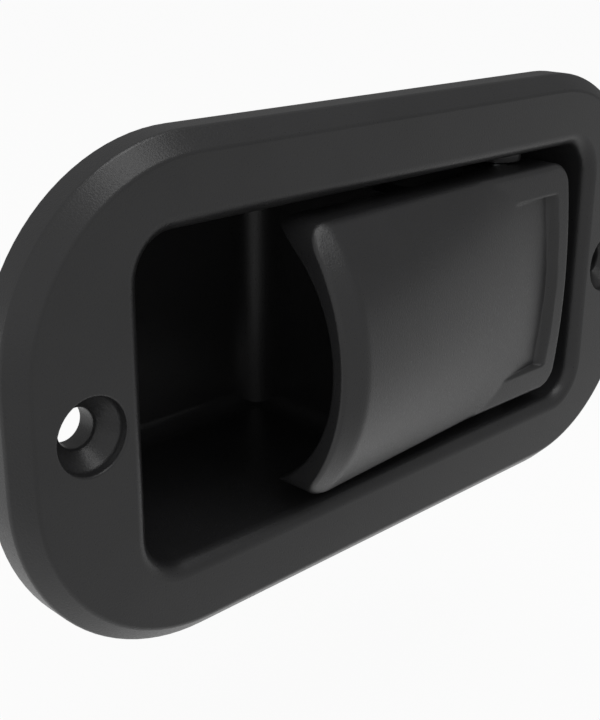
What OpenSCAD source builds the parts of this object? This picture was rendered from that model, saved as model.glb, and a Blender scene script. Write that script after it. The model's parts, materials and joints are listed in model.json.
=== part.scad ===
// Flush paddle latch: a recessed finger cup, a hinged paddle and a sprung slam bolt.
// Millimetres, +Z up, +Y into the panel, +X toward the bolt end.
// The origin is the middle of the flange's rear face, which lies on the panel.

/* [Flange] */
// Length of the flange along X
flange_l = 106; // [100:1:130]
// Height of the flange along Z
flange_h = 55; // [51:1:70]
// Thickness of the flange at the rim
flange_t = 5.5; // [4.5:0.1:7]
// Corner radius of the flange outline
flange_r = 22.5; // [12:0.5:25]
// Width of the bevel round the front edge
flange_bevel = 2; // [0.5:0.1:3]
// Distance between the two screw holes
hole_spacing = 89; // [88:0.5:96]
// Clearance hole diameter of the mounting screws
hole_d = 4.2; // [3.2:0.1:5.2]
// Countersink diameter at the front face
csk_d = 8; // [6:0.1:9]
// Straight rim above the countersink cone
csk_rim = 1; // [0.2:0.05:1.5]
// Depth of the hollow in the flange's rear
core_depth = 2.6; // [1.5:0.1:3.2]
// Width of the rim left round that hollow
core_rim = 2.2; // [1.5:0.1:4]
// Diameter of the boss round each screw hole
screw_boss_d = 10; // [8:0.2:12]

/* [Pocket and cup] */
// Clear length of the pocket between its end walls
pocket_l = 76; // [74:0.2:80]
// Clear height of the pocket
pocket_h = 36; // [35.6:0.2:40]
// Corner radius of the pocket walls
pocket_r = 4.5; // [3:0.1:8]
// Width of the bevel round the pocket mouth
mouth_bevel = 1.2; // [0.4:0.1:2]
// Depth of the finger cup floor below the front face
cup_depth = 28.8; // [28:0.2:34]
// Fillet radius along the cup floor and at the partition
cup_fillet = 2.5; // [1:0.1:4]
// Wall thickness of the moulding
wall_t = 2.2; // [1.8:0.1:3]
// Draft of the body's outside, per side over its depth
body_draft = 0.6; // [0:0.1:0.8]
// X of the partition face that closes the cup
partition_x = 3; // [0:0.5:5]
// Depth below the front face where the cup's sloping end starts
ramp_depth = 3; // [2:0.5:8]
// Slope of that end from the front face, degrees
ramp_angle = 54; // [45:1:65]

/* [Paddle] */
// X of the free end of the paddle
paddle_end_x = -17.25; // [-20:0.25:-14]
// X of the hinged end of the paddle
paddle_right_x = 33.5; // [33:0.25:34.5]
// Height of the paddle along Z
paddle_h = 32; // [30:0.2:33]
// Height of the arch crest above the front face, at the free end band
crest = 7.7; // [5:0.1:9]
// Depth of the crest line below the front face at the recess
crest_low = 0.4; // [0.2:0.05:0.7]
// Radius across the crest at the free end
arch_r = 23; // [19:0.5:30]
// Radius along the two long edges of the paddle
edge_round = 1.4; // [0.6:0.1:2]
// Corner radius of the paddle's outline
corner_r = 3; // [1.5:0.25:4]
// Width of the sloped band at the free end
end_band = 3; // [2:0.25:6]
// Fall of the sloped band
end_fall = 0.9; // [0.6:0.1:2]
// Shell thickness at the free end
lip_t = 1.8; // [1.5:0.1:3]
// Radius of the hollow underside
hollow_r = 17.4; // [16.6:0.2:19]
// Depth of the paddle skirts below the front face
skirt_depth = 5.5; // [5:0.1:6]
// Radius of the flatter border at the hinge end
border_r = 110; // [80:1:140]
// Height of the border above the front face
border_rise = 0.65; // [0.4:0.05:0.9]
// X of the deepest line of the bracket-shaped recess
recess_x = 30; // [29:0.25:30.5]
// Half height of the recess
recess_z = 12; // [9:0.25:13]

/* [Mechanism] */
// X of the pivot
pivot_x = 27; // [26:0.25:28]
// Depth of the pivot below the front face
pivot_depth = 7.5; // [7:0.1:8]
// Diameter of the pivot pin
pin_d = 3; // [2.5:0.1:3.4]
// Paddle travel, degrees
paddle_travel = 40; // [30:1:42]
// Crank length from the pivot to the nose centre
crank_l = 12.5; // [11.5:0.1:12.6]
// Radius of the crank nose
nose_r = 2; // [1.6:0.1:2.2]
// How far the bolt stands out past the flange edge
bolt_throw = 8.5; // [6:0.1:8.5]
// Height of the bolt along Z
bolt_h = 16; // [12:0.5:18]
// Thickness of the bolt along Y
bolt_t = 6.2; // [5.6:0.1:6.2]
// Wire diameter of the bolt spring
bolt_wire = 0.7; // [0.5:0.05:0.9]
// Wire diameter of the paddle spring
paddle_wire = 0.8; // [0.6:0.05:0.9]
// Shank diameter of the cover screws
screw_d = 2.4; // [2:0.1:2.8]

/* [Hidden] */
$fn = 64;
eps = 0.5;
slide_gap = 0.2;
pin_gap = 0.05;
fit_gap = 0.02;
wire_sides = 8;
turn_steps = 18;
cover_t = wall_t;
rear = cup_depth + cover_t;
pocket_x = pocket_l / 2;
pocket_z = pocket_h / 2;
body_x = pocket_x + wall_t;
body_z = pocket_z + wall_t;
bay_x = partition_x + wall_t;
partition_top = 13;
web_rear = cup_depth - bolt_t - 2 * slide_gap;
web_front = web_rear - wall_t;
bolt_front = web_rear + slide_gap;
bolt_back = cup_depth - slide_gap;
bolt_mid = (bolt_front + bolt_back) / 2;
crank_lean = paddle_travel / 2;
crank_tip_x = pivot_x + crank_l * sin(crank_lean);
crank_tip_d = pivot_depth + crank_l * cos(crank_lean);
lug_right = crank_tip_x - nose_r - 0.25;
lug_l = 4.5;
lug_top = crank_tip_d - 0.85;
lug_z = 4;
boss_r = 4.5;
boss_in = 10;
boss_out = paddle_h / 2 - 0.3;
hub_z = paddle_h / 2 + slide_gap;
hub_r = pin_d / 2 + 1.6;
mid_boss = 4.5;
bolt_left = 20;
bolt_tip = flange_l / 2 + bolt_throw;
bolt_slide = 2 * crank_l * sin(crank_lean);
spigot_r = 1.3;
spigot_l = 4;
post_l = 2;
bolt_coil_r = 2.1;
bolt_turns = 7;
rail_z = bolt_h / 2 + slide_gap;
boss_screw_r = 3;
screw_x = [bay_x + 4, pocket_x - 3.7];
screw_z = pocket_z - 3.7;
screw_l = 6;
head_r = 2.4;
head_h = 1.7;
paddle_coil_r = 2.4;
paddle_turns = 4;
coil_z = mid_boss + 0.6;
coil_l = boss_in - mid_boss - 1.2;
seat_top = 12.9;
cover_x = bay_x - 0.7;
band_x = paddle_end_x + end_band;
crest_run = recess_x - band_x;
crest_dip = atan((crest + crest_low) / crest_run);
border_x = 10;
arch_steps = 8;
across_steps = 24;
round_steps = 5;
hollow_d = lip_t + end_fall - crest;
hollow_end = bolt_left - paddle_end_x;
edge_bevel = 0.8;
skirt_step = 1;
rest_w = 2.4;
rest_z = paddle_h / 2 - 0.6 - rest_w;
rest_ledge = 12;
cutter = 20;
recess_wall = border_rise + crest_low + 0.05;
rib_t = 1.6;
rib_x = 22;
core_gap = 1.8;
leg_d = skirt_depth + paddle_wire / 2 + 0.05;

// Y of a depth measured from the front face
function yd(d) = d - flange_t;

// Cylinder or cone along Y between two Y values
module y_cone(r0, r1, y0, y1) {
    translate([0, y0, 0])
    rotate([-90, 0, 0])
    cylinder(r1 = r0, r2 = r1, h = y1 - y0);
}

// Cylinder along Z, centred
module z_rod(r, l) {
    translate([0, 0, -l / 2])
    cylinder(r = r, h = l);
}

// Cylinder along X from x0 to x1
module x_rod(r, x0, x1) {
    translate([x0, 0, 0])
    rotate([0, 90, 0])
    cylinder(r = r, h = x1 - x0);
}

// Box between two corners
module box(a, b) {
    translate(a)
    cube(b - a);
}

// Rounded rectangle from y0 to y1, drawn in by c on the way
module rounded_slab(l, h, r, c, y0, y1) {
    mid_x = l / 2 - r;
    mid_z = h / 2 - r;
    translate([0, 0, -mid_z])
    linear_extrude(height = 2 * mid_z)
    polygon([[-l / 2, y0], [l / 2, y0], [l / 2 - c, y1], [c - l / 2, y1]]);
    rotate([0, 90, 0])
    translate([0, 0, -mid_x])
    linear_extrude(height = 2 * mid_x)
    polygon([[-h / 2, y0], [h / 2, y0], [h / 2 - c, y1], [c - h / 2, y1]]);
    for (sx = [-1, 1], sz = [-1, 1])
        translate([sx * mid_x, 0, sz * mid_z])
        y_cone(r, r - c, y0, y1);
}

// Half space beyond the cup's sloping end, moved outward by d
module ramp(d) {
    reach = 4 * cup_depth;
    translate([-pocket_x, yd(ramp_depth), 0])
    rotate([0, 0, ramp_angle])
    box([-reach, d, -reach], [reach, reach, reach]);
}

// How far the draft has drawn the body's outside in at a depth, to the nearest micron
function drawn(d) = round(1000 * body_draft * (d - flange_t) / (rear - flange_t)) / 1000;

// Outer block of the body behind the flange, between two depths
module body_block(d0, d1) {
    rounded_slab(2 * (body_x - drawn(d0)), 2 * (body_z - drawn(d0)), pocket_r + wall_t - drawn(d0),
        drawn(d1) - drawn(d0), yd(d0), yd(d1));
}

// Hollow in the flange's rear, with bosses round the screw holes and stiffening ribs left standing
module flange_core() {
    top = flange_t - core_depth;
    difference() {
        rounded_slab(flange_l - 2 * core_rim, flange_h - 2 * core_rim, flange_r - core_rim, 0,
            yd(top), yd(flange_t + eps));
        rounded_slab(2 * (body_x + core_gap), 2 * (body_z + core_gap), pocket_r + wall_t + core_gap, 0,
            yd(top - eps), yd(flange_t + 2 * eps));
        for (s = [-1, 1]) {
            translate([s * hole_spacing / 2, 0, 0])
            y_cone(screw_boss_d / 2, screw_boss_d / 2, yd(top - eps), yd(flange_t + 2 * eps));
            for (x = [s * rib_x - rib_t / 2, s * (flange_l / 2 - flange_r / 2) - rib_t / 2])
                box([x, yd(top - eps), -flange_h / 2], [x + rib_t, yd(flange_t + 2 * eps), flange_h / 2]);
        }
    }
}

module screw_hole() {
    cone_l = (csk_d - hole_d) / 2;
    y_cone(hole_d / 2, hole_d / 2, yd(-eps), yd(flange_t + eps));
    y_cone(csk_d / 2, csk_d / 2, yd(-eps), yd(csk_rim));
    y_cone(csk_d / 2, hole_d / 2, yd(csk_rim), yd(csk_rim + cone_l));
}

// Finger cup with rounded corners at the partition and along the floor
module cup_cut() {
    mid_x = partition_x - cup_fillet;
    mid_z = pocket_z - cup_fillet;
    mid_d = cup_depth - cup_fillet;
    far_x = -pocket_x - eps;
    difference() {
        union() {
            intersection() {
                rounded_slab(pocket_l, pocket_h, pocket_r, 0, yd(partition_top - eps), yd(mid_d));
                box([far_x, yd(0), -body_z], [mid_x, yd(rear), body_z]);
            }
            box([0 - pocket_r, yd(partition_top - eps), -mid_z], [partition_x, yd(mid_d), mid_z]);
            box([pocket_r - pocket_x, yd(mid_d - eps), -mid_z], [mid_x, yd(cup_depth), mid_z]);
            for (s = [-1, 1]) {
                translate([mid_x, 0, s * mid_z])
                y_cone(cup_fillet, cup_fillet, yd(partition_top - eps), yd(mid_d));
                translate([mid_x, yd(mid_d), s * mid_z])
                sphere(r = cup_fillet);
                translate([0, yd(mid_d), s * mid_z])
                x_rod(cup_fillet, pocket_r - pocket_x, mid_x);
            }
            translate([mid_x, yd(mid_d), 0])
            z_rod(cup_fillet, 2 * mid_z);
        }
        ramp(0);
    }
}

// Space for the mechanism, right of the partition and open at the rear
module bay_cut() {
    intersection() {
        rounded_slab(pocket_l, pocket_h, pocket_r, 0, yd(partition_top - eps), yd(rear + eps));
        box([bay_x, yd(0), -body_z], [body_x, yd(rear + eps), body_z]);
    }
}

// Floor of the bay, bolt rails, screw bosses, spring seat and paddle rests, all ending inside the walls
module bay_furniture() {
    difference() {
        intersection() {
            rounded_slab(pocket_l + wall_t, pocket_h + wall_t, pocket_r + wall_t / 2, 0,
                yd(flange_t), yd(cup_depth));
            union() {
                box([partition_x, yd(web_front), -body_z], [body_x, yd(web_rear), body_z]);
                for (s = [0, 1])
                    mirror([0, 0, s]) {
                        box([partition_x, yd(web_front), rail_z],
                            [body_x, yd(cup_depth), rail_z + wall_t]);
                        for (x = screw_x)
                            translate([x, 0, screw_z])
                            y_cone(boss_screw_r, boss_screw_r, yd(web_front), yd(cup_depth));
                        box([partition_x, yd(skirt_depth - skirt_step + 0.1), rest_z],
                            [bay_x + wall_t, yd(partition_top + wall_t), rest_z + rest_w]);
                        box([partition_x, yd(rest_ledge), rest_z],
                            [bay_x + wall_t, yd(partition_top + wall_t), body_z]);
                    }
                box([pivot_x + 4.5, yd(seat_top), coil_z + coil_l - 1.4],
                    [body_x, yd(web_rear), coil_z + coil_l + 0.6]);
                translate([0, yd(bolt_mid), 0])
                x_rod(spigot_r, partition_x + 1, bay_x + post_l);
            }
        }
        box([bolt_left - bolt_slide + lug_l - 1, yd(web_front - eps), -lug_z - 0.6],
            [crank_tip_x + nose_r + 1.5, yd(web_rear + eps), lug_z + 0.6]);
        for (s = [-1, 1], x = screw_x)
            translate([x, 0, s * screw_z])
            y_cone(screw_d / 2 + fit_gap, screw_d / 2 + fit_gap, yd(web_rear), yd(rear));
    }
}

module housing() {
    color("#2b2c2e")
    difference() {
        union() {
            difference() {
                union() {
                    rounded_slab(flange_l - 2 * flange_bevel, flange_h - 2 * flange_bevel,
                        flange_r - flange_bevel, -flange_bevel, yd(0), yd(flange_bevel));
                    rounded_slab(flange_l, flange_h, flange_r, 0, yd(flange_bevel), yd(flange_t));
                    difference() {
                        body_block(flange_t - eps, rear);
                        ramp(wall_t);
                    }
                }
                rounded_slab(pocket_l + 2 * mouth_bevel, pocket_h + 2 * mouth_bevel,
                    pocket_r + mouth_bevel, mouth_bevel, yd(0), yd(mouth_bevel));
                difference() {
                    rounded_slab(pocket_l, pocket_h, pocket_r, 0, yd(0), yd(partition_top));
                    ramp(0);
                }
                cup_cut();
                bay_cut();
                flange_core();
                box([cover_x - slide_gap / 2, yd(cup_depth), -2 * body_z],
                    [2 * body_x, yd(rear + eps), 2 * body_z]);
                for (s = [-1, 1])
                    translate([s * hole_spacing / 2, 0, 0])
                    screw_hole();
            }
            bay_furniture();
            for (s = [-1, 1])
                translate([pivot_x, yd(pivot_depth), s * (hub_z + pocket_z + 1) / 2])
                z_rod(hub_r, pocket_z + 1 - hub_z);
        }
        translate([pivot_x, yd(pivot_depth), 0])
        z_rod(pin_d / 2 + fit_gap, 2 * body_z + 2 * eps);
        box([pocket_x - eps, yd(web_rear), -rail_z], [body_x + eps, yd(cup_depth + eps), rail_z]);
    }
}

// Fall of an arc of radius r at a distance z from its crest
function arc_fall(r, z) = r - sqrt(r * r - z * z);

// Depth of the paddle's front: straight lines from an arc at the free end to a flatter arc at the recess
function arch_depth(x, z) =
    let (t = (x - band_x) / crest_run)
    (1 - t) * (arc_fall(arch_r, z) - crest) + t * (arc_fall(border_r, z) + crest_low);

// Depth of the sloped band that trims the free end
function band_depth(x, z) = arc_fall(arch_r, z) - crest + end_fall * (band_x - x) / end_band;

// Closed section of the arch across one X, rounded at the long edges
function arch_section(x) =
    let (
        flat_z = paddle_h / 2 - edge_round,
        zs = concat(
            [for (i = [0:round_steps - 1]) -flat_z - edge_round * cos(90 * i / round_steps)],
            [for (i = [0:across_steps]) flat_z * (2 * i / across_steps - 1)],
            [for (i = [1:round_steps]) flat_z + edge_round * sin(90 * i / round_steps)]
        )
    )
    concat(
        [for (z = zs)
            let (past = min(max(abs(z) - flat_z, 0), edge_round))
            [x, yd((x < band_x ? band_depth(x, z) : arch_depth(x, z)) + arc_fall(edge_round, past)), z]],
        [[x, yd(skirt_depth), paddle_h / 2], [x, yd(skirt_depth), -paddle_h / 2]]
    );

// Solid through a list of closed sections with equal numbers of points
module loft(sections) {
    last = len(sections) - 1;
    n = len(sections[0]);
    sides = [for (i = [0:last - 1], k = [0:n - 1])
        let (
            a = i * n + k,
            b = i * n + (k + 1) % n
        )
        each [[a, b, a + n], [b, b + n, a + n]]];
    first_cap = [for (k = [n - 1:-1:0]) k];
    last_cap = [for (k = [0:n - 1]) last * n + k];
    polyhedron(
        points = [for (section = sections) each section],
        faces = concat(sides, [first_cap, last_cap])
    );
}

// Arched outer form, lofted from the sloped end band to past the hinge end
module arch_form() {
    stations = concat(
        [paddle_end_x - eps],
        [for (i = [0:arch_steps]) band_x + (paddle_right_x + eps - band_x) * i / arch_steps]
    );
    loft([for (x = stations) arch_section(x)]);
}

// Plan outline of the paddle between two depths, from x0 to the hinge end
module paddle_block(d0, d1, x0) {
    translate([(x0 + paddle_right_x) / 2, 0, 0])
    rounded_slab(paddle_right_x - x0, paddle_h, corner_r, 0, yd(d0), yd(d1));
}

// Flatter border at the hinge end with the bracket-shaped recess
module border() {
    difference() {
        intersection() {
            paddle_block(-crest, skirt_depth - 1, border_x);
            translate([0, yd(border_r - border_rise), 0])
            x_rod(border_r, border_x - 1, paddle_right_x + 1);
        }
        translate([0, 0, -recess_z])
        linear_extrude(height = 2 * recess_z)
        polygon([
            [border_x - 2, yd(-3)],
            [recess_x + 2 * recess_wall, yd(-3)],
            [recess_x + recess_wall, yd(-border_rise)],
            [recess_x, yd(recess_wall - border_rise)],
            [recess_x - recess_wall, yd(2 * recess_wall - border_rise)],
            [border_x - 2, yd(2 * recess_wall - border_rise)]
        ]);
        translate([paddle_right_x, yd(edge_bevel - border_rise), 0])
        rotate([0, 0, 45])
        translate([0, -cutter / 2, 0])
        cube([cutter, cutter, 2 * paddle_h], center = true);
        for (s = [0, 1])
            mirror([0, 0, s])
            translate([0, yd(edge_bevel + arc_fall(border_r, paddle_h / 2) - border_rise), paddle_h / 2])
            rotate([-45, 0, 0])
            translate([0, -cutter / 2, 0])
            cube([4 * paddle_right_x, cutter, cutter], center = true);
    }
}

module paddle() {
    color("#303133")
    difference() {
        union() {
            difference() {
                union() {
                    intersection() {
                        arch_form();
                        paddle_block(-2 * crest, skirt_depth, paddle_end_x);
                    }
                    border();
                }
                translate([paddle_end_x, yd(hollow_d), 0])
                rotate([0, 0, crest_dip])
                translate([0, hollow_r, 0])
                x_rod(hollow_r, -6, hollow_end);
                box([paddle_end_x - 1, yd(skirt_depth - skirt_step), -paddle_h],
                    [bolt_left - 4, yd(rear), paddle_h]);
                translate([pivot_x, yd(pivot_depth), 0])
                z_rod(paddle_coil_r + paddle_wire / 2 + 0.5, 2 * boss_in);
            }
            translate([pivot_x, yd(pivot_depth), 0]) {
                for (s = [-1, 1])
                    translate([0, 0, s * (boss_in + boss_out) / 2])
                    z_rod(boss_r, boss_out - boss_in);
                z_rod(boss_r, 2 * mid_boss);
                rotate([0, 0, -crank_lean]) {
                    box([-0.7 * nose_r, 0, -lug_z], [0.7 * nose_r, crank_l, lug_z]);
                    translate([0, crank_l, 0])
                    z_rod(nose_r, 2 * lug_z);
                }
            }
        }
        translate([pivot_x, yd(pivot_depth), 0])
        z_rod(pin_d / 2 + pin_gap, 2 * body_z);
    }
}

module pivot_pin() {
    half = body_z - 0.2;
    tip = 0.4;
    color("#b9bcc0")
    translate([pivot_x, yd(pivot_depth), 0]) {
        z_rod(pin_d / 2, 2 * (half - tip));
        for (s = [0, 1])
            mirror([0, 0, s])
            translate([0, 0, half - tip])
            cylinder(r1 = pin_d / 2, r2 = pin_d / 2 - tip, h = tip);
    }
}

function unit(v) = v / norm(v);

// Round wire swept along a list of points; up keeps the section from twisting
module wire(path, up, r) {
    last = len(path) - 1;
    points = [for (i = [0:last])
        let (
            t = unit(path[min(i + 1, last)] - path[max(i - 1, 0)]),
            b = unit(up - (up * t) * t),
            n = cross(b, t)
        )
        for (k = [0:wire_sides - 1])
            path[i] + r * (cos(360 * k / wire_sides) * b + sin(360 * k / wire_sides) * n)];
    sides = [for (i = [0:last - 1], k = [0:wire_sides - 1])
        let (
            a = i * wire_sides + k,
            b = i * wire_sides + (k + 1) % wire_sides
        )
        each [[a, b, a + wire_sides], [b, b + wire_sides, a + wire_sides]]];
    first_cap = [for (k = [wire_sides - 1:-1:0]) k];
    last_cap = [for (k = [0:wire_sides - 1]) last * wire_sides + k];
    polyhedron(points = points, faces = concat(sides, [first_cap, last_cap]));
}

// Torsion spring: one leg under the paddle's border, coils round the pin, one leg on the housing seat
module paddle_spring() {
    leave = asin((leg_d - pivot_depth) / paddle_coil_r);
    sweep = leave + 270 + 360 * (paddle_turns - 1);
    steps = ceil(sweep / 360 * turn_steps);
    z1 = coil_z + coil_l;
    coil = [for (i = [0:steps])
        let (a = leave - sweep * i / steps)
        [
            pivot_x + paddle_coil_r * cos(a),
            yd(pivot_depth + paddle_coil_r * sin(a)),
            coil_z + coil_l * i / steps
        ]];
    leg_a = [paddle_right_x - 0.6, yd(leg_d), coil_z];
    leg_b = [pocket_x - 2.2, yd(seat_top - paddle_wire / 2 - 0.05), z1];
    color("#9ea2a6")
    wire(concat([leg_a], coil, [leg_b]), [0, 0, 1], paddle_wire / 2);
}

module bolt() {
    bevel_l = 7.5;
    tip_t = 1.6;
    color("#8f9296")
    union() {
        difference() {
            box([bolt_left, yd(bolt_front), -bolt_h / 2], [bolt_tip, yd(bolt_back), bolt_h / 2]);
            translate([0, 0, -bolt_h])
            linear_extrude(height = 2 * bolt_h)
            polygon([
                [bolt_tip - bevel_l, yd(bolt_back)],
                [bolt_tip, yd(bolt_front + tip_t)],
                [bolt_tip + bevel_l, yd(bolt_front + tip_t)],
                [bolt_tip + bevel_l, yd(bolt_back + 1)],
                [bolt_tip - bevel_l, yd(bolt_back + 1)]
            ]);
        }
        box([lug_right - lug_l, yd(lug_top), -lug_z], [lug_right, yd(bolt_front + 1), lug_z]);
        translate([0, yd(bolt_mid), 0])
        x_rod(spigot_r, bolt_left - spigot_l, bolt_left + 1);
    }
}

module bolt_spring() {
    margin = bolt_wire / 2 + fit_gap;
    x0 = bay_x + margin;
    x1 = bolt_left - margin;
    steps = bolt_turns * turn_steps;
    color("#a6a9ad")
    wire([for (i = [0:steps])
        let (a = 360 * i / turn_steps)
        [
            x0 + (x1 - x0) * i / steps,
            yd(bolt_mid + bolt_coil_r * cos(a)),
            bolt_coil_r * sin(a)
        ]], [1, 0, 0], bolt_wire / 2);
}

module back_cover() {
    color("#26272a")
    difference() {
        intersection() {
            body_block(cup_depth + fit_gap, rear);
            box([cover_x, yd(cup_depth), -2 * body_z], [2 * body_x, yd(rear + eps), 2 * body_z]);
        }
        for (s = [-1, 1], x = screw_x)
            translate([x, 0, s * screw_z])
            y_cone(screw_d / 2 + 0.15, screw_d / 2 + 0.15, yd(cup_depth - eps), yd(rear + eps));
    }
}

module cover_screws() {
    slot_w = 0.6;
    color("#c3c6c9")
    for (s = [-1, 1], x = screw_x)
        translate([x, yd(rear + fit_gap), s * screw_z])
        difference() {
            union() {
                y_cone(screw_d / 2, screw_d / 2, -screw_l, 0);
                y_cone(head_r, head_r - 0.4, 0, head_h);
            }
            for (a = [0, 90])
                rotate([0, a, 0])
                box([-1.2, head_h - 0.9, -slot_w / 2], [1.2, head_h + 1, slot_w / 2]);
        }
}

housing();
paddle();
pivot_pin();
paddle_spring();
bolt();
bolt_spring();
back_cover();
cover_screws();
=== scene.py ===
"""Looks of a flush paddle latch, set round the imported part.

Moulded nylon shells, a die-cast bolt, wire springs and a plain white studio. Lengths are in metres,
or in millimetres where a comment or docstring says so.
"""

import json
import math

import bmesh
import bpy
from mathutils import Matrix, Vector
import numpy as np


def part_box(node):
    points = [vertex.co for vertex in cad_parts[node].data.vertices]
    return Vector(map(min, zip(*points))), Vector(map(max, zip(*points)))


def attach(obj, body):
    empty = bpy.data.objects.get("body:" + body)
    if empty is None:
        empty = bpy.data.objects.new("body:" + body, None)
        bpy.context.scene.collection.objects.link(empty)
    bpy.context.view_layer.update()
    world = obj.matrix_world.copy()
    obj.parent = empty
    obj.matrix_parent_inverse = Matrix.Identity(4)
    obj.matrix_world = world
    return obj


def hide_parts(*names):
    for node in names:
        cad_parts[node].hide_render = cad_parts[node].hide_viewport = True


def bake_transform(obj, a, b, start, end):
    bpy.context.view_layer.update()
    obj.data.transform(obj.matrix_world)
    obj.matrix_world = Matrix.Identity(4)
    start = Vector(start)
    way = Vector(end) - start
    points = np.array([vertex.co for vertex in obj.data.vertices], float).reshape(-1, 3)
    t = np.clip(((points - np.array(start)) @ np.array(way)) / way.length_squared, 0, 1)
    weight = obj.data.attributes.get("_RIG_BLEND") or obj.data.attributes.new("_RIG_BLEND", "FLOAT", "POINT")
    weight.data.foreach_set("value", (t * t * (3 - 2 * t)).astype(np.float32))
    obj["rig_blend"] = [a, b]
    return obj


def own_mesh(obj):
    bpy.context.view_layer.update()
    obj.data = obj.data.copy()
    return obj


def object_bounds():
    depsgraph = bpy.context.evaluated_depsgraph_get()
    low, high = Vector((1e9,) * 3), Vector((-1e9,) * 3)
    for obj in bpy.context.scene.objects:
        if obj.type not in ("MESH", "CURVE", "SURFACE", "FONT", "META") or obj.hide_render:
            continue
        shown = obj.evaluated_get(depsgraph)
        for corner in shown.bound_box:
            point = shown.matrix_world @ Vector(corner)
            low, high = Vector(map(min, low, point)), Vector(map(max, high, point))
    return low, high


bl_info = {
    "name": "Paddle latch looks",
    "version": (1, 0, 0),
    "blender": (4, 5, 0),
    "location": "3D View > Sidebar > Latch",
    "description": "Dresses the packed paddle latch with rounded edges, finishes and a white studio",
    "category": "Object",
}

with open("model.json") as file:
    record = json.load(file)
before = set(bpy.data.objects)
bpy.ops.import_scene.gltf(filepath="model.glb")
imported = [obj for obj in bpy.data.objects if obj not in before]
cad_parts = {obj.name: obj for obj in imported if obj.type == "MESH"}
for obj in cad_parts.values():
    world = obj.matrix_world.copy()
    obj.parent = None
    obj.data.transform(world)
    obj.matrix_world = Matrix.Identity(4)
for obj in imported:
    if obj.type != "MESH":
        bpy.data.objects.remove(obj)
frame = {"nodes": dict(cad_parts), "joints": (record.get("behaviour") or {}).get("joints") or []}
CAD_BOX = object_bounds()
MM = 0.001


def joint(name):
    """The frame's entry for one joint."""
    return next(j for j in frame["joints"] if j["name"] == name)


# The photograph's camera: place, view direction and up direction
CAMERA_AT = Vector((-0.10494, -0.09423, 0.04713))
CAMERA_FORWARD = Vector((0.6598, 0.6662, -0.3476))
CAMERA_UP = Vector((0.2391, 0.2523, 0.9376))
SENSOR_MM = 36

# Studio: floor, its painted pool of light along Y that only reflections see, the air's light from its dim to
# its bright side, lamps
FLOOR_SIZE = 6.0
FLOOR_DROP = 0.035
# share of the paper that glows: plain white to the camera, and a painted pool of light to reflections
PAPER_GLOW = 0.94
PAINTED_POOL_FRONT_Y, PAINTED_POOL_BACK_Y = -0.07, -0.01
PAINTED_POOL_FRONT, PAINTED_POOL_BACK = 0.48, 0.77
BRIGHT_SIDE = (-0.89, -0.45, 0)
AIR_DIM, AIR_BRIGHT = 0.16, 0.62
# name, place, side and watts
LAMPS = (
    ("lamp_front", (0.07, -0.32, 0.62), 0.36, 0.65),
    ("lamp_top", (0.06, 0.05, 0.70), 0.3, 0.8),
)

# Copies of the solids: points closer than the weld are one, faces flatter than FLAT_DEG are one,
# and edges sharper than EDGE_DEG (TURNED_DEG on turned pieces) are rounded
WELD = 0.002 * MM
FLAT_DEG = 0.5
EDGE_DEG = 28
TURNED_DEG = 40
EDGE_SEGMENTS = 4

# Middle range of a noise texture's values
NOISE_LOW, NOISE_HIGH = 0.3, 0.7

# The sizes from here on are in millimetres, except the pivot's place in the frame. Depth counts
# from the flange's front face, into the panel.
FLANGE_T = -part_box("housing")[0].y / MM
BODY_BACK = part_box("housing")[1].y / MM
PIVOT = Vector(joint("paddle_hinge")["pos_m"])
PIVOT_X, PIVOT_Y = PIVOT.x / MM, PIVOT.y / MM
PIVOT_DEPTH = PIVOT_Y + FLANGE_T

# Cup of the housing: face of its partition, depth of its floor, hollow between the two
PARTITION_X = 3.0
CUP_DEPTH = 28.8
CUP_CORNER_R = 5.0
CUP_HALF_Z = 18.1
CUP_EMBED = 0.3
CUP_STEPS = 20

# Limits that tell the housing's edges apart: round the mouth, then inside the pocket
MOUTH_OUT_X, MOUTH_OUT_Z = 39.6, 19.6
MOUTH_IN_X, MOUTH_IN_Z = 33, 16.5
MOUTH_DEPTH = 1.4
POCKET_X, POCKET_Z = 38.2, 18.2
BACK_WALL = 2

# Paddle's outline
END_X, RIGHT_X = -17.25, 33.5
HALF_H = 16.0
CORNER_R = 3.0

# Paddle's front: an arch that sinks from its crest to the recess, trimmed by a sloped end band
CREST, CREST_LOW = 7.7, 0.4
ARCH_R = 23.0
BAND_X, BAND_FALL, BAND_BLEND = -14.25, 0.9, 0.25
RECESS_X, RECESS_Z, RECESS_WALL = 30.0, 12.0, 1.1
BORDER_R, BORDER_RISE, BORDER_X = 110.0, 0.65, 10.0
DIP = math.atan((CREST + CREST_LOW) / (RECESS_X - BAND_X))

# Paddle's edges, and the runs over which a long edge grows from the free end and the hinge end
LONG_EDGE, END_EDGE, UNDER_EDGE = 0.8, 0.5, 0.4
FREE_RUN, HINGE_RUN = 6, 4

# Paddle's back: a hollow along a dipped axis, a stepped skirt and room for the spring's coils
HOLLOW_R, HOLLOW_TOP, HOLLOW_RUN = 17.4, -5.0, 37.25
SKIRT, SKIRT_STEP, STEP_X = 5.5, 1.0, 16.0
COIL_ROOM_R, COIL_ROOM_LOW, COIL_ROOM_HIGH = 3.3, 4.5, 10

# Grid of the paddle's skin: spacing, room and half gap at a break, least gap, steps of a quarter
GRID_STEP = 0.4
BREAK_ROOM, BREAK_HALF = 0.12, 0.03
LEAST_GAP = 0.004
ROUND_STEPS = 8

# Bushes and crank behind the paddle. Arm and neck are shares of the nose's radius, and the nose's
# arc is in degrees.
BUSH_R, BUSH_BORE, BUSH_EDGE, BUSH_END = 4.5, 1.55, 0.3, 15.7
CRANK_LEAN = math.radians(20)
CRANK_LENGTH, CRANK_NOSE, CRANK_HALF_Z, CRANK_EDGE = 12.5, 2.0, 4.0, 0.25
ARM_SHARE, NECK_SHARE = 0.7, 0.72
NOSE_FROM, NOSE_ARC, NOSE_STEPS = 225, 270, 24

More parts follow.
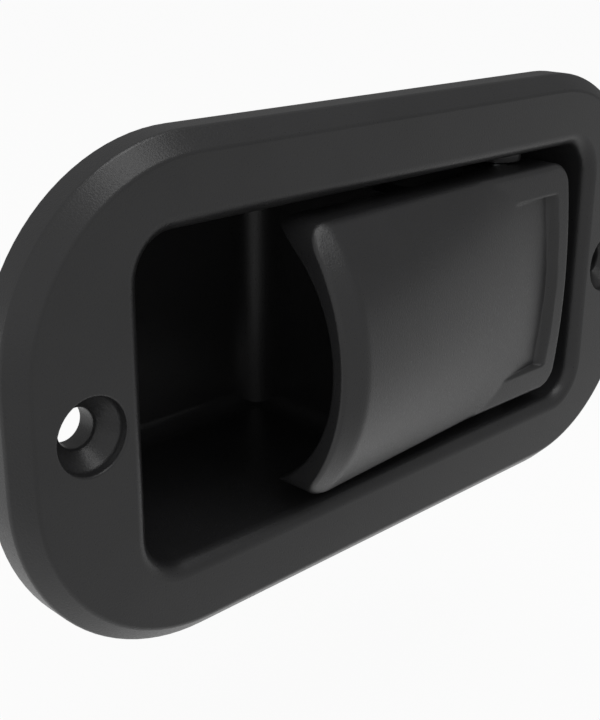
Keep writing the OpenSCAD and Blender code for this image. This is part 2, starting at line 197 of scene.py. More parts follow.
# Springs: wire and coil radius, steps in a turn, steps in a leg, dome on the wire's ends
BOLT_WIRE_R, BOLT_COIL_R, BOLT_TURNS = 0.35, 2.1, 7
CLOSED_PITCH = 1.03 * 2 * BOLT_WIRE_R
TWIST_WIRE_R, TWIST_COIL_R = 0.4, 2.4
TWIST_LOW, TWIST_HIGH = 5.1, 9.4
TWIST_SWEEP = math.radians(270 + 360 * 3)
PADDLE_LEG_DEPTH, PADDLE_LEG_END = 5.95, RIGHT_X - 0.6
SEAT_X, SEAT_DEPTH = 35.8, 12.45
COIL_STEPS, LEG_STEPS, DOME_STEPS = 36, 6, 4
DOME_RISE = 0.35


def linear(hex_colour):
    """Linear colour with alpha from an sRGB hex value."""
    out = []
    for i in (1, 3, 5):
        c = int(hex_colour[i:i + 2], 16) / 255
        out.append(c / 12.92 if c <= 0.04045 else ((c + 0.055) / 1.055) ** 2.4)
    return (*out, 1.0)


def shade(colour, factor):
    """A darker or lighter take of a colour."""
    return (*(min(1.0, c * factor) for c in colour[:3]), 1.0)


def per_mm(size_mm):
    """Texture scale at which one feature is about size_mm across."""
    return 1 / (size_mm * MM)


class LatchSizes(bpy.types.PropertyGroup):
    """Sizes that the looks add to the solids."""

    shell_edge: bpy.props.FloatProperty(
        name="Shell edge", description="Edge radius of the mouldings",
        default=0.3 * MM, unit="LENGTH")
    metal_edge: bpy.props.FloatProperty(
        name="Metal edge", description="Edge radius of the metal pieces",
        default=0.2 * MM, unit="LENGTH")
    fixing_edge: bpy.props.FloatProperty(
        name="Fixing edge", description="Edge radius of the pin and screws",
        default=0.1 * MM, unit="LENGTH")
    grain: bpy.props.FloatProperty(
        name="Grain", description="Width of the spark-eroded grain",
        default=0.22 * MM, unit="LENGTH")
    lens: bpy.props.FloatProperty(
        name="Lens", description="Focal length on a 36 mm sensor",
        default=60.84, unit="CAMERA")


class LatchColours(bpy.types.PropertyGroup):
    """Colours of the finishes and the stage."""

    nylon: bpy.props.FloatVectorProperty(
        name="Nylon", description="Black moulded nylon",
        size=4, subtype="COLOR", default=linear("#2b2b2c"))
    steel: bpy.props.FloatVectorProperty(
        name="Steel", description="Ground steel",
        size=4, subtype="COLOR", default=linear("#b8babc"))
    wire: bpy.props.FloatVectorProperty(
        name="Wire", description="Drawn spring wire",
        size=4, subtype="COLOR", default=linear("#9c9fa2"))
    zinc: bpy.props.FloatVectorProperty(
        name="Zinc", description="Tumbled die-cast zinc",
        size=4, subtype="COLOR", default=linear("#a9abad"))
    plating: bpy.props.FloatVectorProperty(
        name="Plating", description="Bright zinc plating",
        size=4, subtype="COLOR", default=linear("#c4c6c4"))
    floor: bpy.props.FloatVectorProperty(
        name="Floor", description="Pale studio floor",
        size=4, subtype="COLOR", default=linear("#f4f4f2"))


def add(tree, kind, settings=None, inputs=None, links=None):
    """Adds one node, sets its fields and sockets and links other nodes' outputs to it."""
    node = tree.nodes.new(kind)
    for name, value in (settings or {}).items():
        setattr(node, name, value)
    for name, value in (inputs or {}).items():
        node.inputs[name].default_value = value
    for name, output in (links or {}).items():
        tree.links.new(output, node.inputs[name])
    return node


def fresh_material(name):
    """An empty node material and its node tree."""
    material = bpy.data.materials.new(name)
    material.use_nodes = True
    material.node_tree.nodes.clear()
    return material, material.node_tree


def finish_material(tree, shader):
    """Links the shader to the material's output."""
    add(tree, "ShaderNodeOutputMaterial", links={"Surface": shader.outputs[0]})


def ramp_between(tree, value, low, high):
    """Colour ramp from one colour to another over a texture's middle range."""
    node = add(tree, "ShaderNodeValToRGB", links={"Fac": value})
    dark, light = node.color_ramp.elements
    dark.position, light.position = NOISE_LOW, NOISE_HIGH
    dark.color, light.color = low, high
    return node


def spread(tree, value, low, high):
    """Value from low to high over a texture's middle range."""
    return add(tree, "ShaderNodeMapRange",
               inputs={"From Min": NOISE_LOW, "From Max": NOISE_HIGH,
                       "To Min": low, "To Max": high},
               links={"Value": value})


def finish_surface(tree, tone, rough, height, strength, depth_mm, inputs):
    """Ends a material with a surface of textured tone and roughness and a bump of depth_mm."""
    bump = add(tree, "ShaderNodeBump",
               inputs={"Strength": strength, "Distance": depth_mm * MM}, links={"Height": height})
    shader = add(tree, "ShaderNodeBsdfPrincipled", inputs=inputs,
                 links={"Base Color": tone.outputs["Color"], "Roughness": rough.outputs["Result"],
                        "Normal": bump.outputs["Normal"]})
    finish_material(tree, shader)


def nylon_spark_eroded(name, colour, grain):
    """Glass-filled nylon from a spark-eroded tool: a soft satin black with a fine even grain."""
    material, tree = fresh_material(name)
    place = add(tree, "ShaderNodeTexCoord")
    # flow marks of the moulding, a few millimetres wide
    flow = add(tree, "ShaderNodeTexNoise",
               inputs={"Scale": per_mm(9), "Detail": 3.0, "Roughness": 0.5},
               links={"Vector": place.outputs["Object"]})
    # spark-eroded grain, drawn coarser than the tool's 0.05 mm so that it shows
    speck = add(tree, "ShaderNodeTexNoise",
                inputs={"Scale": 1 / grain, "Detail": 2.0, "Roughness": 0.6},
                links={"Vector": place.outputs["Object"]})
    tone = ramp_between(tree, flow.outputs["Fac"], shade(colour, 0.92), shade(colour, 1.08))
    satin = spread(tree, speck.outputs["Fac"], 0.27, 0.37)
    finish_surface(tree, tone, satin, speck.outputs["Fac"], strength=0.7, depth_mm=0.04,
                   inputs={"IOR": 1.53, "Metallic": 0.0})
    return material


def metal(name, colour, rough, mark_mm, stretch, depth_mm):
    """Bare metal whose marks are mark_mm wide, drawn out along one axis by stretch."""
    material, tree = fresh_material(name)
    place = add(tree, "ShaderNodeTexCoord")
    along = add(tree, "ShaderNodeMapping",
                inputs={"Scale": stretch}, links={"Vector": place.outputs["Object"]})
    marks = add(tree, "ShaderNodeTexNoise",
                inputs={"Scale": per_mm(mark_mm), "Detail": 4.0, "Roughness": 0.6},
                links={"Vector": along.outputs["Vector"]})
    tone = ramp_between(tree, marks.outputs["Fac"], shade(colour, 0.82), colour)
    polish = spread(tree, marks.outputs["Fac"], rough * 0.8, rough * 1.25)
    finish_surface(tree, tone, polish, marks.outputs["Fac"], strength=0.3, depth_mm=depth_mm,
                   inputs={"Metallic": 1.0})
    return material


def black_nylon(context):
    """The one nylon that the housing, the cover and the paddle share."""
    name = "Nylon, spark-eroded satin"
    scene = context.scene
    return bpy.data.materials.get(name) or nylon_spark_eroded(
        name, tuple(scene.latch_colours.nylon), scene.latch_sizes.grain)


def smooth_object(name, mesh, material):
    """Puts a mesh in the scene, shaded smooth and in one material."""
    for polygon in mesh.polygons:
        polygon.use_smooth = True
    mesh.materials.clear()
    mesh.materials.append(material)
    piece = bpy.data.objects.new(name, mesh)
    bpy.context.scene.collection.objects.link(piece)
    return piece


def stand_for(piece, node_name, body):
    """Makes a piece stand for a CAD node. A piece without a body is blended between two later."""
    if body:
        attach(piece, body)
    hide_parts(node_name)


def mould_on(bm, vertices, faces):
    """Adds a closed skin of millimetre vertices to a mesh."""
    points = [bm.verts.new(Vector(v) * MM) for v in vertices]
    added = [bm.faces.new([points[i] for i in face]) for face in faces]
    bmesh.ops.recalc_face_normals(bm, faces=added)


def rounded_copy(node_name, piece_name, body, edge, material,
                 angle=EDGE_DEG, share=None, skin=None):
    """A copy of a CAD node with welded facets and rounded edges, which stands for the node.

    share gives, from an edge's middle point in millimetres, its part of twice the edge radius;
    0.5 is plain. skin is a closed skin of millimetre vertices and faces that is moulded on.
    """
    mesh = frame["nodes"][node_name].data.copy()
    for attribute in list(mesh.attributes):
        if attribute.name == "custom_normal":
            mesh.attributes.remove(attribute)
    bm = bmesh.new()
    bm.from_mesh(mesh)
    bmesh.ops.remove_doubles(bm, verts=bm.verts, dist=WELD)
    bmesh.ops.dissolve_limit(
        bm, angle_limit=math.radians(FLAT_DEG), verts=bm.verts, edges=bm.edges)
    if skin:
        mould_on(bm, *skin)
    weight = bm.edges.layers.float.new("bevel_weight_edge")
    for e in bm.edges:
        if len(e.link_faces) == 2 and e.calc_face_angle(0) > math.radians(angle):
            middle = (e.verts[0].co + e.verts[1].co) / 2 / MM
            e[weight] = share(middle) if share else 0.5
            # an edge that stays sharp also shades as sharp
            e.smooth = e[weight] > 0
    bm.to_mesh(mesh)
    bm.free()
    piece = smooth_object(piece_name, mesh, material)
    bevel = piece.modifiers.new("Edge", "BEVEL")
    bevel.width = 2 * edge
    bevel.segments = EDGE_SEGMENTS
    bevel.limit_method = "WEIGHT"
    bevel.use_clamp_overlap = False
    bevel.loop_slide = False
    # large flat faces keep their normals, and facets of a curve shade as one surface
    even = piece.modifiers.new("Normals", "WEIGHTED_NORMAL")
    even.keep_sharp = True
    stand_for(piece, node_name, body)
    return piece


def new_piece(name, vertices, faces, body, node_name, material):
    """A smooth mesh piece, from millimetre vertices, that stands for a CAD node."""
    mesh = bpy.data.meshes.new(name)
    mesh.from_pydata([Vector(v) * MM for v in vertices], [], faces)
    mesh.validate()
    bm = bmesh.new()
    bm.from_mesh(mesh)
    bmesh.ops.recalc_face_normals(bm, faces=bm.faces)
    bm.to_mesh(mesh)
    bm.free()
    piece = smooth_object(name, mesh, material)
    stand_for(piece, node_name, body)
    return piece


def joined(*parts):
    """One list of vertices and faces from several closed skins."""
    vertices, faces = [], []
    for part_vertices, part_faces in parts:
        base = len(vertices)
        vertices += part_vertices
        faces += [tuple(base + i for i in face) for face in part_faces]
    return vertices, faces


def cup_corner():
    """Skin that fills the corner between the cup's floor and its partition to a rounder hollow."""
    corner_y = CUP_DEPTH - FLANGE_T
    middle_x, middle_y = PARTITION_X - CUP_CORNER_R, corner_y - CUP_CORNER_R
    ring = []
    for i in range(CUP_STEPS + 1):
        turn = math.pi / 2 * i / CUP_STEPS
        ring.append((middle_x + CUP_CORNER_R * math.cos(turn),
                     middle_y + CUP_CORNER_R * math.sin(turn)))
    ring.append((PARTITION_X + CUP_EMBED, corner_y + CUP_EMBED))
    n = len(ring)
    vertices = [(x, y, z) for z in (-CUP_HALF_Z, CUP_HALF_Z) for x, y in ring]
    faces = [(i, (i + 1) % n, n + (i + 1) % n, n + i) for i in range(n)]
    for base in (0, n):
        faces += [(base + n - 1, base + i, base + i + 1) for i in range(CUP_STEPS)]
    return vertices, faces


def housing_edges(middle):
    """Share of the full rounding at a housing edge: all round the mouth, none inside, or half."""
    across, up = abs(middle.x), abs(middle.z)
    in_mouth = across < MOUTH_OUT_X and up < MOUTH_OUT_Z and middle.y < MOUTH_DEPTH - FLANGE_T
    if in_mouth and (across > MOUTH_IN_X or up > MOUTH_IN_Z):
        return 1.0
    if across < POCKET_X and up < POCKET_Z and middle.y < BODY_BACK - BACK_WALL:
        return 0.0
    return 0.5


def arc_fall(radius, z):
    """Fall of an arc at a distance z from its crest."""
    return radius - math.sqrt(radius ** 2 - z * z)


def arch(x, z):
    """Depth of the arch: straight lines from an arc at the free end to a flatter one."""
    t = (x - BAND_X) / (RECESS_X - BAND_X)
    return (1 - t) * (arc_fall(ARCH_R, z) - CREST) + t * (arc_fall(BORDER_R, z) + CREST_LOW)


def end_band(x, z):
    """Depth of the sloped band that trims the free end."""
    return arc_fall(ARCH_R, z) - CREST + BAND_FALL * (BAND_X - x) / (BAND_X - END_X)


def blend_max(a, b, width):
    """Larger of two depths, rounded over width where they meet."""
    gap = max(width - abs(a - b), 0.0) / width
    return max(a, b) + gap * gap * width / 4


def edge_drop(inside, radius):
    """Fall of a rounded edge at a distance inside the outline."""
    if inside >= radius:
        return 0.0
    return radius - math.sqrt(max(radius ** 2 - (radius - inside) ** 2, 0.0))


def outline_gap(x, z):
    """Distance inside the rounded outline, or 0 outside it."""
    dx, dz = min(RIGHT_X - x, x - END_X), HALF_H - abs(z)
    if dx < CORNER_R and dz < CORNER_R:
        return max(CORNER_R - math.hypot(CORNER_R - dx, CORNER_R - dz), 0)
    return max(min(dx, dz), 0)


def paddle_front(x, z):
    """Depth of the paddle's front, with its border, recess and rounded edges."""
    depth = blend_max(arch(x, z), end_band(x, z), BAND_BLEND)
    if x > BORDER_X:
        border = arc_fall(BORDER_R, z) - BORDER_RISE
        if abs(z) < RECESS_Z:
            wall = min(RECESS_X + RECESS_WALL - x, 2 * RECESS_WALL)
            border = max(border, wall - BORDER_RISE)
        depth = min(depth, border)
    free_share = min(max((x - END_X) / FREE_RUN, 0), 1)
    hinge_share = min(max((RIGHT_X - x) / HINGE_RUN, 0), 1)
    edge = END_EDGE + (LONG_EDGE - END_EDGE) * (free_share * hinge_share)
    return depth + edge_drop(outline_gap(x, z), edge)


def paddle_back(x, z):
    """Depth of the paddle's hollow back, with room for the spring's coils."""
    fall = arc_fall(HOLLOW_R, z)
    along = (x - END_X + fall * math.sin(DIP)) / math.cos(DIP)
    depth = SKIRT - SKIRT_STEP if x < STEP_X else SKIRT
    if along < HOLLOW_RUN:
        depth = min(depth, HOLLOW_TOP + along * math.sin(DIP) + fall * math.cos(DIP))
    if COIL_ROOM_LOW < abs(z) < COIL_ROOM_HIGH and abs(x - PIVOT_X) < COIL_ROOM_R:
        depth = min(depth, PIVOT_DEPTH - math.sqrt(COIL_ROOM_R ** 2 - (x - PIVOT_X) ** 2))
    return depth - edge_drop(outline_gap(x, z), UNDER_EDGE)


def grid_lines(low, high, breaks, edge):
    """Even lines with a close pair at each break and a quarter round's spacing at the ends."""
    lines = {low, high}
    count = round((high - low) / GRID_STEP)
    lines.update(low + (high - low) * i / count for i in range(count + 1))
    for b in breaks:
        lines = {v for v in lines if abs(v - b) > BREAK_ROOM}
        lines.update((b - BREAK_HALF, b + BREAK_HALF))
    for i in range(ROUND_STEPS + 1):
        turn = 1 - math.cos(math.pi / 2 * i / ROUND_STEPS)
        lines.update((low + edge * turn, high - edge * turn))
    out = []
    for v in sorted(lines):
        if not out or v - out[-1] > LEAST_GAP:
            out.append(v)
    return out


def rounded_plan(x, z):
    """Moves a grid point near a corner onto the rounded outline."""
    middle, half = (END_X + RIGHT_X) / 2, (RIGHT_X - END_X) / 2
    a = (abs(x - middle) - half) / CORNER_R + 1
    b = (abs(z) - HALF_H) / CORNER_R + 1
    if a <= 0 or b <= 0:
        return x, z
    reach = max(a, b)
    turn = math.pi / 4 * (b / a if a >= b else 2 - a / b)
    out_x = half + CORNER_R * (reach * math.cos(turn) - 1)
    out_z = HALF_H + CORNER_R * (reach * math.sin(turn) - 1)
    return middle + math.copysign(out_x, x - middle), math.copysign(out_z, z)


def paddle_plate():
    """Vertices and faces of the arched plate, front and back in one closed skin."""
    xs = grid_lines(END_X, RIGHT_X, (RECESS_X, RECESS_X + RECESS_WALL, STEP_X,
                                     PIVOT_X - COIL_ROOM_R, PIVOT_X + COIL_ROOM_R), END_EDGE)
    zs = grid_lines(-HALF_H, HALF_H, (-RECESS_Z, RECESS_Z, -COIL_ROOM_HIGH, -COIL_ROOM_LOW,
                                      COIL_ROOM_LOW, COIL_ROOM_HIGH), LONG_EDGE)
    plan = [rounded_plan(x, z) for x in xs for z in zs]
    rows, columns = len(xs), len(zs)
    vertices = [(x, paddle_front(x, z) - FLANGE_T, z) for x, z in plan]
    vertices += [(x, paddle_back(x, z) - FLANGE_T, z) for x, z in plan]
    back = rows * columns
    faces = []
    for i in range(rows - 1):
        for j in range(columns - 1):
            a = i * columns + j
            b = a + columns
            faces.append((a, a + 1, b + 1, b))
            faces.append((back + a, back + b, back + b + 1, back + a + 1))
    rim = list(range(columns))
    rim += [i * columns + columns - 1 for i in range(1, rows)]
    rim += [(rows - 1) * columns + j for j in range(columns - 2, -1, -1)]
    rim += [i * columns for i in range(rows - 2, 0, -1)]
    for a, b in zip(rim, rim[1:] + rim[:1]):
        faces.append((a, b, back + b, back + a))
    return vertices, faces


def lathe(profile, steps=48):
    """Closed ring round the pivot from a list of (radius, z) points."""
    vertices, faces = [], []
    n = len(profile)
    for i in range(steps):
        turn = 2 * math.pi * i / steps
        x, y = math.cos(turn), math.sin(turn)
        vertices += [(PIVOT_X + r * x, PIVOT_Y + r * y, z) for r, z in profile]
        here, beyond = i * n, (i + 1) % steps * n
        for k in range(n):
            following = (k + 1) % n
            faces.append((here + k, here + following, beyond + following, beyond + k))
    return vertices, faces


def bush(z0, z1):
    """Ring on the pivot between two heights, with small bevels on its outer edges."""
    face_r = BUSH_R - BUSH_EDGE
    return lathe([(BUSH_BORE, z0), (face_r, z0), (BUSH_R, z0 + BUSH_EDGE),
                  (BUSH_R, z1 - BUSH_EDGE), (face_r, z1), (BUSH_BORE, z1)])


def crank():
    """Crank arm with a round nose, drawn as one outline and closed with bevelled faces."""
    arm, neck = ARM_SHARE * CRANK_NOSE, CRANK_LENGTH - NECK_SHARE * CRANK_NOSE
    outline = [(-arm, 0.0), (-arm, neck)]
    for k in range(NOSE_STEPS + 1):
        turn = math.radians(NOSE_FROM - NOSE_ARC * k / NOSE_STEPS)
        outline.append((CRANK_NOSE * math.cos(turn), CRANK_LENGTH + CRANK_NOSE * math.sin(turn)))
    outline += [(arm, neck), (arm, 0.0)]
    c, d = math.cos(CRANK_LEAN), math.sin(CRANK_LEAN)
    small, inner_z = 1 - CRANK_EDGE / CRANK_NOSE, CRANK_HALF_Z - CRANK_EDGE
    vertices = []
    for size, z in ((small, -CRANK_HALF_Z), (1.0, -inner_z), (1.0, inner_z), (small, CRANK_HALF_Z)):
        for x, y in outline:
            x *= size
            if y > CRANK_LENGTH - CRANK_NOSE:
                y = CRANK_LENGTH + (y - CRANK_LENGTH) * size
            vertices.append((PIVOT_X + x * c + y * d, PIVOT_Y - x * d + y * c, z))
    n = len(outline)
    faces = [tuple(range(n)), tuple(range(4 * n - 1, 3 * n - 1, -1))]
    for level in range(3):
        for k in range(n):
            a, b = level * n + k, level * n + (k + 1) % n
            faces.append((a, b, b + n, a + n))
    return vertices, faces


def swept_wire(path, radius, up, sides=16):
    """Round wire along a path, with domed ends."""
    path = [Vector(q) for q in path]
    last = len(path) - 1
    rings = []
    for i, point in enumerate(path):
        along = (path[min(i + 1, last)] - path[max(i - 1, 0)]).normalized()
        side = (up - up.dot(along) * along).normalized()
        rings.append((point, side, side.cross(along), along))
    turns = [math.pi / 2 * k / DOME_STEPS for k in range(1, DOME_STEPS)]
    dome = [(math.cos(turn), radius * DOME_RISE * math.sin(turn)) for turn in turns]
    first, end = rings[0], rings[-1]
    stations = [(first[0] - first[3] * out, first, size) for size, out in reversed(dome)]
    stations += [(ring[0], ring, 1.0) for ring in rings]
    stations += [(end[0] + end[3] * out, end, size) for size, out in dome]
    vertices, faces = [], []
    for point, (_, side, other, _), size in stations:
        for k in range(sides):
            turn = 2 * math.pi * k / sides
            spoke = math.cos(turn) * side + math.sin(turn) * other
            vertices.append(point + radius * size * spoke)
    for i in range(len(stations) - 1):
        for k in range(sides):
            a, b = i * sides + k, i * sides + (k + 1) % sides
            faces.append((a, b, b + sides, a + sides))
    faces.append(tuple(range(sides - 1, -1, -1)))
    faces.append(tuple((len(stations) - 1) * sides + k for k in range(sides)))
    return vertices, faces


def bolt_coils(left, right, middle):
    """Path of the compression spring, with a closed turn at each end."""
    start, end = left + BOLT_WIRE_R, right - BOLT_WIRE_R
    pitch = (end - start - 2 * CLOSED_PITCH) / (BOLT_TURNS - 2)
    path = []
    for i in range(BOLT_TURNS * COIL_STEPS + 1):
        turn = i / COIL_STEPS
        if turn < 1:
            x = start + CLOSED_PITCH * turn
        elif turn > BOLT_TURNS - 1:
            x = end - CLOSED_PITCH * (BOLT_TURNS - turn)
        else:
            x = start + CLOSED_PITCH + pitch * (turn - 1)
        angle = 2 * math.pi * turn
        path.append((x, middle + BOLT_COIL_R * math.cos(angle), BOLT_COIL_R * math.sin(angle)))
    return path


def torsion_coils():
    """Path of the paddle's spring: a leg under the paddle, coils, a leg on the housing's seat."""
    leave = math.asin((PADDLE_LEG_DEPTH - PIVOT_DEPTH) / TWIST_COIL_R)
    sweep = leave + TWIST_SWEEP
    count = math.ceil(sweep / (2 * math.pi) * COIL_STEPS)
    coil = []
    for i in range(count + 1):
        turn = leave - sweep * i / count
        coil.append((PIVOT_X + TWIST_COIL_R * math.cos(turn),
                     PIVOT_Y + TWIST_COIL_R * math.sin(turn),
                     TWIST_LOW + (TWIST_HIGH - TWIST_LOW) * i / count))
    reach = PADDLE_LEG_END - coil[0][0]
    paddle_leg = [(PADDLE_LEG_END - reach * k / LEG_STEPS, PADDLE_LEG_DEPTH - FLANGE_T, TWIST_LOW)
                  for k in range(LEG_STEPS)]
    x, y, _ = coil[-1]
    seat_leg = [(x + (SEAT_X - x) * k / LEG_STEPS,
                 y + (SEAT_DEPTH - FLANGE_T - y) * k / LEG_STEPS, TWIST_HIGH)
                for k in range(1, LEG_STEPS + 1)]
    return paddle_leg + coil + seat_leg


class LATCH_OT_housing(bpy.types.Operator):
    """Housing and back cover in moulded nylon"""

    bl_idname = "latch.housing"
    bl_label = "Housing and cover"

    def execute(self, context):
        nylon, edge = black_nylon(context), context.scene.latch_sizes.shell_edge
        rounded_copy("housing", "housing_moulding", "housing", edge, nylon,
                     share=housing_edges, skin=cup_corner())
        rounded_copy("back_cover", "cover_plate", "housing", edge, nylon)
        return {"FINISHED"}


class LATCH_OT_paddle(bpy.types.Operator):
    """Arched paddle with its bushes and crank in moulded nylon"""

    bl_idname = "latch.paddle"
    bl_label = "Paddle"

    def execute(self, context):
        vertices, faces = joined(
            paddle_plate(),
            bush(-BUSH_END, -COIL_ROOM_HIGH),
            bush(-COIL_ROOM_LOW, COIL_ROOM_LOW),
            bush(COIL_ROOM_HIGH, BUSH_END),
            crank(),
        )
        new_piece("paddle_moulding", vertices, faces, "paddle", "paddle",
                  black_nylon(context))
        return {"FINISHED"}


class LATCH_OT_bolt(bpy.types.Operator):
    """Slam bolt in die-cast zinc"""

    bl_idname = "latch.bolt"
    bl_label = "Bolt"

    def execute(self, context):
        scene = context.scene
        # tumbled castings keep soft, shallow dimples
        zinc = metal("Zinc, die-cast and tumbled", tuple(scene.latch_colours.zinc),
                     rough=0.42, mark_mm=1.6, stretch=(1, 1, 1), depth_mm=0.03)
        rounded_copy("bolt", "bolt_casting", "bolt", scene.latch_sizes.metal_edge, zinc)
        return {"FINISHED"}


class LATCH_OT_fixings(bpy.types.Operator):
    """Hinge pin in ground steel and cover screws in plated steel"""

    bl_idname = "latch.fixings"
    bl_label = "Pin and screws"

    def execute(self, context):
        colours, edge = context.scene.latch_colours, context.scene.latch_sizes.fixing_edge
        # grinding leaves fine marks along the pin, and plating a bright, slightly cloudy skin
        steel = metal("Steel, ground", tuple(colours.steel),
                      rough=0.22, mark_mm=0.12, stretch=(1, 1, 0.1), depth_mm=0.004)
        plating = metal("Steel, bright zinc plated", tuple(colours.plating),
                        rough=0.28, mark_mm=0.5, stretch=(1, 1, 1), depth_mm=0.006)
        rounded_copy("pivot_pin", "hinge_pin", "housing", edge, steel,
                     angle=TURNED_DEG)
        rounded_copy("cover_screws", "screw_heads", "housing", edge, plating,
                     angle=TURNED_DEG)
        return {"FINISHED"}


class LATCH_OT_springs(bpy.types.Operator):
    """Both springs in drawn wire: the bolt's coils stay with the housing, the paddle's spring is blended
    between housing and paddle
    """

    bl_idname = "latch.springs"
    bl_label = "Springs"

    def execute(self, context):
        # drawing leaves faint, close marks and a low sheen
        wire = metal("Spring steel, drawn", tuple(context.scene.latch_colours.wire),
                     rough=0.3, mark_mm=0.1, stretch=(1, 1, 1), depth_mm=0.004)
        low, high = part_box("bolt_spring")
        middle = (low.y + high.y) / 2 / MM
        path = bolt_coils(low.x / MM, high.x / MM, middle)
        vertices, faces = swept_wire(path, BOLT_WIRE_R, Vector((1, 0, 0)))
        coils = new_piece("bolt_coils", vertices, faces, "housing", "bolt_spring",
                          wire)
        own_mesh(coils)

        vertices, faces = swept_wire(torsion_coils(), TWIST_WIRE_R, Vector((0, 0, 1)))
        twist = new_piece("paddle_coils", vertices, faces, None, "paddle_spring",
                          wire)
        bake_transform(twist, "housing", "paddle", start=(0, 0, 9.0 * MM), end=(0, 0, 5.5 * MM))
        return {"FINISHED"}


def paper_sweep(colour):
    """White paper: plain white to the camera, and in the object's reflections a painted pool of light that
    fades to the front.
    """
    material, tree = fresh_material("Paper sweep, white")
    path = add(tree, "ShaderNodeLightPath")
    seen = add(tree, "ShaderNodeMath", {"operation": "MAXIMUM"},
               links={0: path.outputs["Is Camera Ray"], 1: path.outputs["Is Glossy Ray"]})
    seen = add(tree, "ShaderNodeMath", {"operation": "MAXIMUM"},
               links={0: seen.outputs[0], 1: path.outputs["Is Transmission Ray"]})
    part = add(tree, "ShaderNodeMath", {"operation": "MULTIPLY"}, {1: PAPER_GLOW},
               {0: seen.outputs[0]})
    place = add(tree, "ShaderNodeNewGeometry")
    split = add(tree, "ShaderNodeSeparateXYZ", links={0: place.outputs["Position"]})
    # painted pool of light: the paper's glow, as reflections see it, rises from front to back
    pool = add(tree, "ShaderNodeMapRange", {"interpolation_type": "SMOOTHSTEP"},
               {"From Min": PAINTED_POOL_FRONT_Y, "From Max": PAINTED_POOL_BACK_Y,
                "To Min": PAINTED_POOL_FRONT, "To Max": PAINTED_POOL_BACK},
               {"Value": split.outputs["Y"]})
    glow = add(tree, "ShaderNodeMapRange", inputs={"To Max": 1.0},
               links={"Value": path.outputs["Is Camera Ray"], "To Min": pool.outputs["Result"]})
    fibre = add(tree, "ShaderNodeTexNoise", inputs={"Scale": per_mm(60)})
    tone = ramp_between(tree, fibre.outputs["Fac"], shade(colour, 0.98), colour)
    paper = add(tree, "ShaderNodeBsdfDiffuse", links={"Color": tone.outputs["Color"]})
    white = add(tree, "ShaderNodeEmission", inputs={"Color": (1, 1, 1, 1)},
                links={"Strength": glow.outputs["Result"]})
    finish_material(tree, add(tree, "ShaderNodeMixShader", links={
        0: part.outputs[0], 1: paper.outputs[0], 2: white.outputs[0]}))
    return material


def studio_air():
    """World that is white to the camera and lights the object most from its left front."""
    world = bpy.data.worlds.new("Studio air")
    world.use_nodes = True
    tree = world.node_tree
    tree.nodes.clear()
    path = add(tree, "ShaderNodeLightPath")
    toward = add(tree, "ShaderNodeTexCoord")
    side = add(tree, "ShaderNodeVectorMath", {"operation": "DOT_PRODUCT"}, {1: BRIGHT_SIDE},
               {0: toward.outputs["Generated"]})
    level = add(tree, "ShaderNodeMapRange",
                inputs={"From Min": -1.0, "From Max": 1.0,
                        "To Min": AIR_DIM, "To Max": AIR_BRIGHT},
                links={"Value": side.outputs["Value"]})
    soft = add(tree, "ShaderNodeBackground", inputs={"Color": (1, 1, 1, 1)},
               links={"Strength": level.outputs["Result"]})
    white = add(tree, "ShaderNodeBackground", inputs={"Color": (1, 1, 1, 1), "Strength": 1.0})
    mix = add(tree, "ShaderNodeMixShader",
              links={0: path.outputs["Is Camera Ray"], 1: soft.outputs[0], 2: white.outputs[0]})
    add(tree, "ShaderNodeOutputWorld", links={"Surface": mix.outputs[0]})
    return world


def soft_lamp(scene, name, at, size, power):
    """Square area lamp, in metres and watts, that faces the latch."""
    data = bpy.data.lights.new(name, "AREA")
    data.size = size
    data.energy = power
    lamp = bpy.data.objects.new(name, data)
    scene.collection.objects.link(lamp)
    lamp.location = at
    lamp.rotation_euler = (-Vector(at)).to_track_quat("-Z", "Y").to_euler()


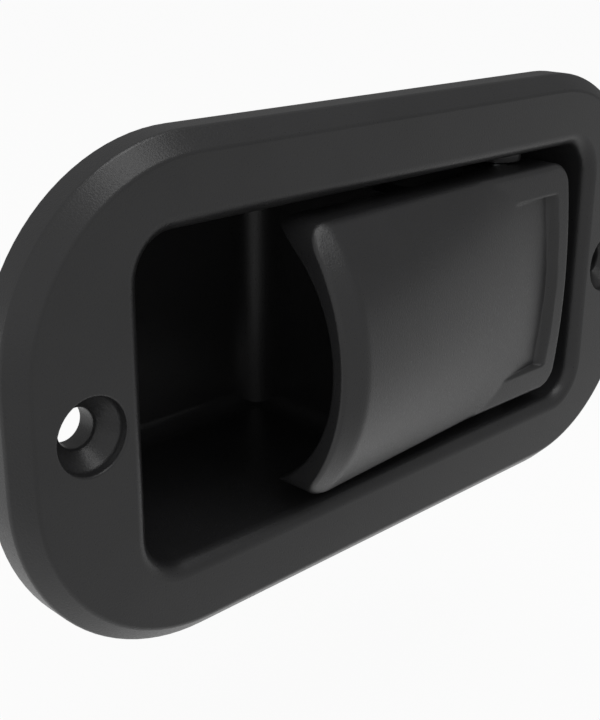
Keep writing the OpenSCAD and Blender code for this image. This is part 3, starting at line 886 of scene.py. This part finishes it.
def photo_camera(scene):
    """The photograph's camera."""
    data = bpy.data.cameras.new("photo_camera")
    data.sensor_width = SENSOR_MM
    data.lens = scene.latch_sizes.lens
    data.clip_start = 5 * MM
    camera = bpy.data.objects.new("photo_camera", data)
    scene.collection.objects.link(camera)
    right = CAMERA_FORWARD.cross(CAMERA_UP).normalized()
    up = right.cross(CAMERA_FORWARD).normalized()
    turn = Matrix((right, up, -CAMERA_FORWARD.normalized())).transposed()
    camera.matrix_world = Matrix.Translation(CAMERA_AT) @ turn.to_4x4()
    scene.camera = camera


class LATCH_OT_stage(bpy.types.Operator):
    """White floor, soft lamps and the photograph's camera"""

    bl_idname = "latch.stage"
    bl_label = "Studio"

    def execute(self, context):
        scene = context.scene
        scene.view_settings.view_transform = "Standard"
        bpy.ops.mesh.primitive_plane_add(
            size=FLOOR_SIZE, location=(0, 0, CAD_BOX[0].z - FLOOR_DROP))
        floor = context.object
        floor.name = "floor"
        floor.data.materials.append(paper_sweep(tuple(scene.latch_colours.floor)))
        scene.world = studio_air()
        for name, at, size, power in LAMPS:
            soft_lamp(scene, name, at, size, power)
        photo_camera(scene)
        return {"FINISHED"}


class LATCH_PT_panel(bpy.types.Panel):
    """Lists the latch's pieces"""

    bl_label = "Paddle latch"
    bl_idname = "LATCH_PT_panel"
    bl_space_type = "VIEW_3D"
    bl_region_type = "UI"
    bl_category = "Latch"

    def draw(self, context):
        for operator in OPERATORS:
            self.layout.operator(operator.bl_idname)


OPERATORS = (LATCH_OT_housing, LATCH_OT_paddle, LATCH_OT_bolt, LATCH_OT_fixings, LATCH_OT_springs,
             LATCH_OT_stage)
CLASSES = (LatchSizes, LatchColours, *OPERATORS, LATCH_PT_panel)


def register():
    for cls in CLASSES:
        bpy.utils.register_class(cls)
    bpy.types.Scene.latch_sizes = bpy.props.PointerProperty(type=LatchSizes)
    bpy.types.Scene.latch_colours = bpy.props.PointerProperty(type=LatchColours)


def unregister():
    del bpy.types.Scene.latch_colours
    del bpy.types.Scene.latch_sizes
    for cls in reversed(CLASSES):
        bpy.utils.unregister_class(cls)


def main():
    register()
    bpy.ops.latch.housing()
    bpy.ops.latch.paddle()
    bpy.ops.latch.bolt()
    bpy.ops.latch.fixings()
    bpy.ops.latch.springs()
    bpy.ops.latch.stage()


if __name__ == "__main__":
    main()
